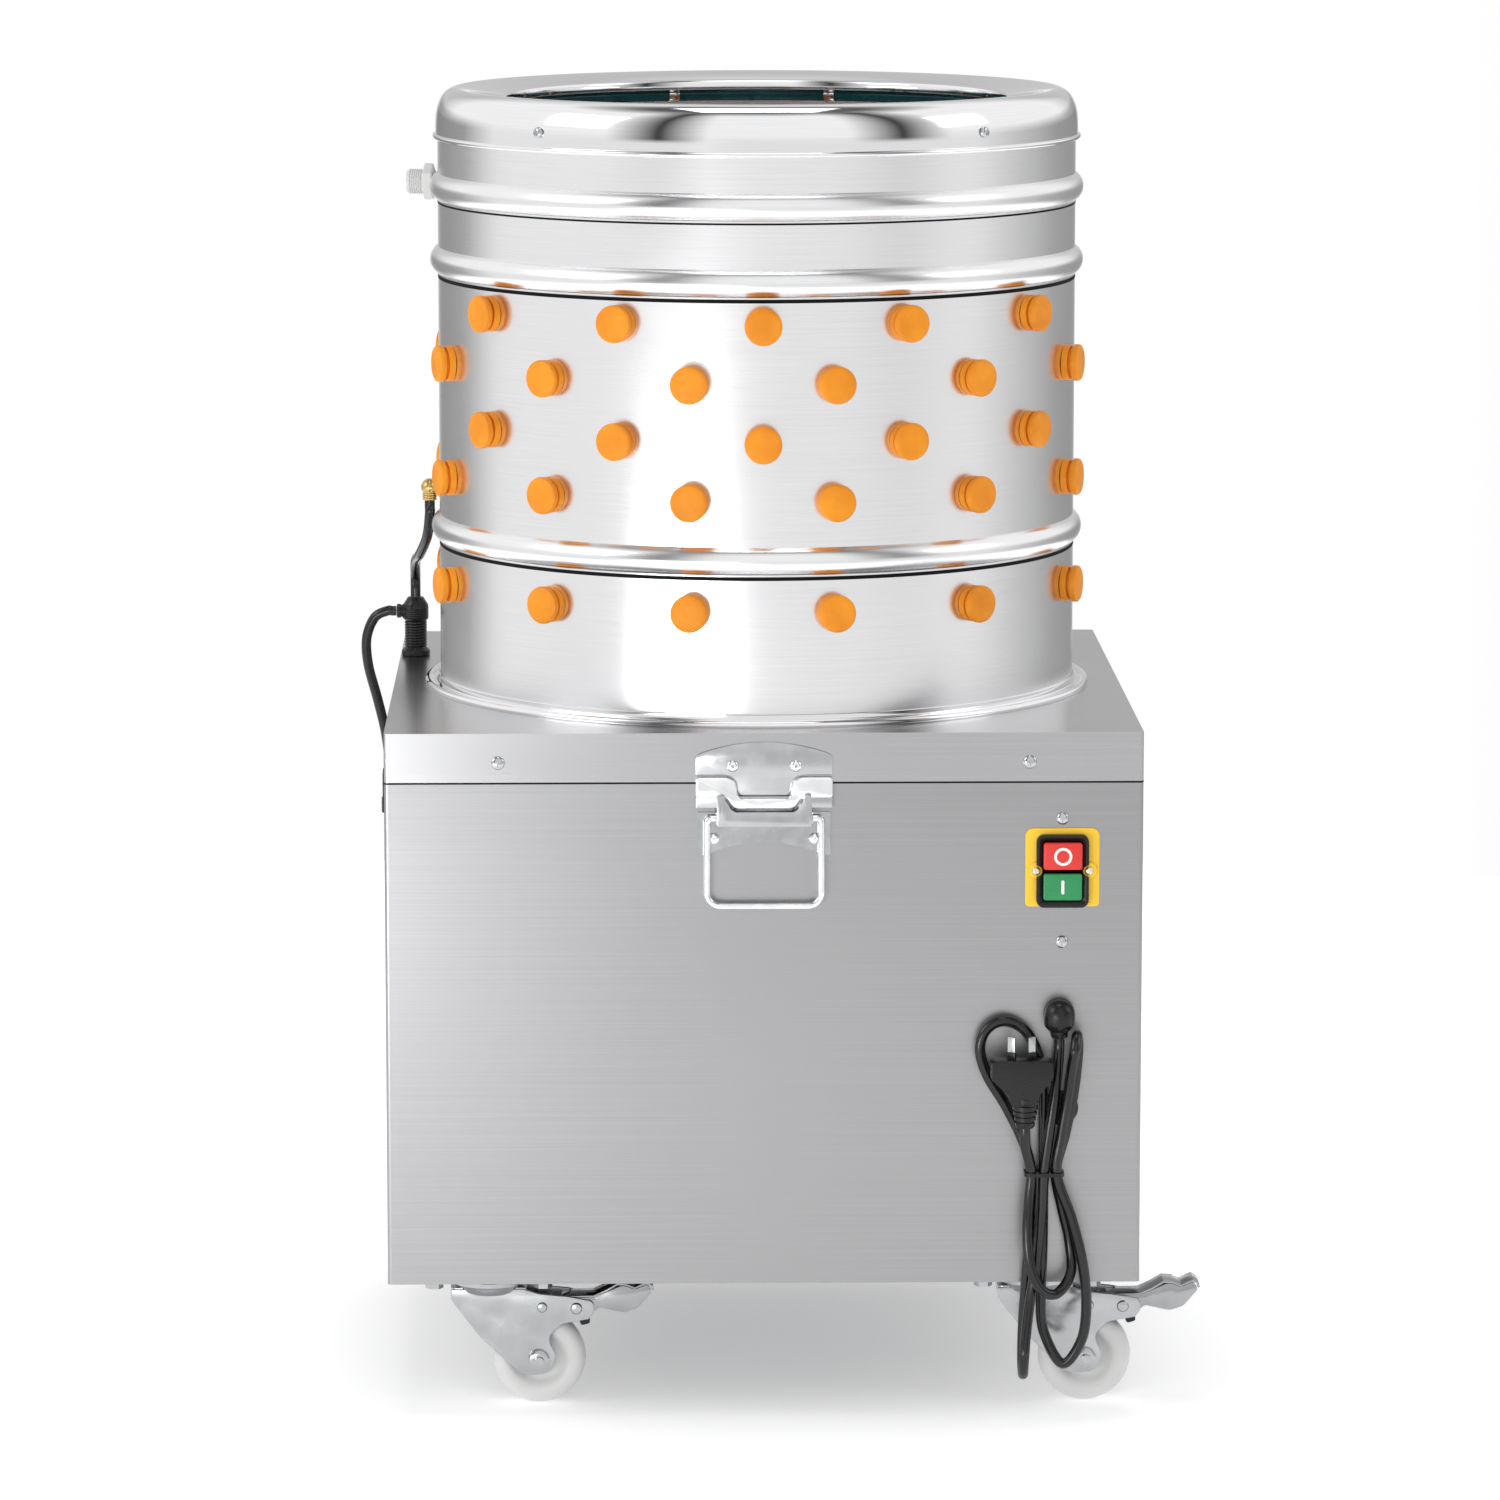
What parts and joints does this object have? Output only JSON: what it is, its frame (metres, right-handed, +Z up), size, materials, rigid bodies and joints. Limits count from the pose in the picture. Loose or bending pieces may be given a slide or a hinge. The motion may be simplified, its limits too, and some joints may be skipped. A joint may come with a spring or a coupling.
{
  "type": "drum poultry plucker",
  "caption": "Stainless drum poultry plucker: rubber-fingered tub on a caster cabinet, belt-driven finger plate, tilting cover with toggle latch, push switch and tied mains cord.",
  "frame": {"origin": "on the floor under the drum's axis", "axes": "+Z up along the drum's axis, front with latch and switch towards -Y, +X to the right seen from the front"},
  "size_m": [0.6856, 0.6816, 1.045],
  "materials": {
    "stainless": "brushed sheet",
    "bright_steel": "polished",
    "zinc": "zinc plated",
    "frame_paint": "satin paint",
    "motor_paint": "painted housing",
    "orange_rubber": "soft moulded rubber",
    "black_rubber": "smooth sheath",
    "teal_hose": "smooth hose",
    "black_plastic": "moulded",
    "yellow_plastic": "moulded",
    "red_plastic": "moulded",
    "green_plastic": "moulded",
    "white_nylon": "moulded",
    "brass": "machined"
  },
  "bodies": {
    "cabinet": {"cabinet_shell": "stainless", "rear_panel": "stainless", "base_frame": "frame_paint", "caster_plates": "zinc", "caster_bolts": "zinc", "feather_tray": "stainless", "bearing_beams": "frame_paint", "shaft_bearings": "motor_paint", "motor_body": "motor_paint", "motor_bracket": "frame_paint", "drive_belt": "black_rubber", "switch_plate": "yellow_plastic", "switch_frame": "black_plastic", "switch_box": "black_plastic", "front_fasteners": "bright_steel", "cord_gland": "black_plastic", "reset_collar": "black_plastic", "latch_base": "bright_steel", "rear_hinges": "stainless", "power_cord": "black_rubber", "cord_hank": "black_rubber", "cord_tie": "black_plastic", "mains_plug": "black_plastic"},
    "drum_unit": {"top_cover": "stainless", "upper_fasteners": "bright_steel", "foot_ring": "stainless", "drum": "stainless", "rim_ring": "stainless", "wall_fingers": "orange_rubber", "spray_hose": "teal_hose", "spray_clips": "stainless", "water_inlet": "white_nylon", "keeper_plate": "bright_steel", "cover_hinges": "stainless", "hose_fitting": "brass", "hose_couplings": "black_plastic", "water_hose": "black_rubber"},
    "turntable_unit": {"turntable": "stainless", "plate_fingers": "orange_rubber", "turntable_hub": "zinc", "main_shaft": "zinc", "driven_pulley": "motor_paint"},
    "motor_rotor": {"motor_shaft": "zinc", "motor_pulley": "motor_paint"},
    "latch_lever_body": {"latch_lever": "bright_steel"},
    "latch_bail_body": {"latch_bail": "bright_steel"},
    "stop_button_body": {"stop_button": "red_plastic"},
    "start_button_body": {"start_button": "green_plastic"},
    "reset_button_body": {"reset_button": "red_plastic"},
    "front_left_caster": {"front_left_fork": "zinc"},
    "front_left_roller": {"front_left_wheel": "white_nylon"},
    "front_left_brake": {"front_left_pedal": "zinc"},
    "front_right_caster": {"front_right_fork": "zinc"},
    "front_right_roller": {"front_right_wheel": "white_nylon"},
    "front_right_brake": {"front_right_pedal": "zinc"},
    "rear_left_caster": {"rear_left_fork": "zinc"},
    "rear_left_roller": {"rear_left_wheel": "white_nylon"},
    "rear_right_caster": {"rear_right_fork": "zinc"},
    "rear_right_roller": {"rear_right_wheel": "white_nylon"}
  },
  "joints": [
    {"name": "drum_tilt", "type": "hinge", "parent": "cabinet", "child": "drum_unit", "pos_m": [0, 0.305, 0.5142], "axis": [-1, 0, 0], "range_deg": [0, 90]},
    {"name": "turntable_spin", "type": "hinge", "parent": "cabinet", "child": "turntable_unit", "pos_m": [0, 0, 0.3], "axis": [0, 0, 1], "continuous": true},
    {"name": "motor_spin", "type": "hinge", "parent": "cabinet", "child": "motor_rotor", "pos_m": [0, -0.205, 0.3], "axis": [0, 0, 1], "continuous": true},
    {"name": "latch_lever_turn", "type": "hinge", "parent": "cabinet", "child": "latch_lever_body", "pos_m": [0, -0.308, 0.487], "axis": [1, 0, 0], "range_deg": [0, 80]},
    {"name": "latch_bail_swing", "type": "hinge", "parent": "cabinet", "child": "latch_bail_body", "pos_m": [0, -0.308, 0.487], "axis": [-1, 0, 0], "range_deg": [0, 75]},
    {"name": "stop_press", "type": "slide", "parent": "cabinet", "child": "stop_button_body", "axis": [0, 1, 0], "range_m": [0, 0.003], "stiffness_N_per_m": 900},
    {"name": "start_press", "type": "slide", "parent": "cabinet", "child": "start_button_body", "axis": [0, 1, 0], "range_m": [0, 0.003], "stiffness_N_per_m": 900},
    {"name": "reset_press", "type": "slide", "parent": "cabinet", "child": "reset_button_body", "axis": [0, 1, 0], "range_m": [0, 0.002], "stiffness_N_per_m": 700},
    {"name": "front_left_swivel", "type": "hinge", "parent": "cabinet", "child": "front_left_caster", "pos_m": [-0.22, -0.241, 0.1], "axis": [0, 0, 1], "continuous": true},
    {"name": "front_left_roll", "type": "hinge", "parent": "front_left_caster", "child": "front_left_roller", "pos_m": [-0.18, -0.241, 0.0375], "axis": [0, 1, 0], "continuous": true},
    {"name": "front_left_brake", "type": "hinge", "parent": "front_left_caster", "child": "front_left_brake", "pos_m": [-0.15, -0.241, 0.08], "axis": [0, 1, 0], "range_deg": [0, 12]},
    {"name": "front_right_swivel", "type": "hinge", "parent": "cabinet", "child": "front_right_caster", "pos_m": [0.22, -0.241, 0.1], "axis": [0, 0, 1], "continuous": true, "deforming": ["cord_hank"]},
    {"name": "front_right_roll", "type": "hinge", "parent": "front_right_caster", "child": "front_right_roller", "pos_m": [0.26, -0.241, 0.0375], "axis": [0, 1, 0], "continuous": true},
    {"name": "front_right_brake", "type": "hinge", "parent": "front_right_caster", "child": "front_right_brake", "pos_m": [0.29, -0.241, 0.08], "axis": [0, 1, 0], "range_deg": [0, 12]},
    {"name": "rear_left_swivel", "type": "hinge", "parent": "cabinet", "child": "rear_left_caster", "pos_m": [-0.22, 0.241, 0.1], "axis": [0, 0, 1], "continuous": true},
    {"name": "rear_left_roll", "type": "hinge", "parent": "rear_left_caster", "child": "rear_left_roller", "pos_m": [-0.18, 0.241, 0.0375], "axis": [0, 1, 0], "continuous": true},
    {"name": "rear_right_swivel", "type": "hinge", "parent": "cabinet", "child": "rear_right_caster", "pos_m": [0.22, 0.241, 0.1], "axis": [0, 0, 1], "continuous": true},
    {"name": "rear_right_roll", "type": "hinge", "parent": "rear_right_caster", "child": "rear_right_roller", "pos_m": [0.26, 0.241, 0.0375], "axis": [0, 1, 0], "continuous": true}
  ],
  "couplings": [
    {"joint": "motor_spin", "follows": "turntable_spin", "ratio": 5}
  ]
}
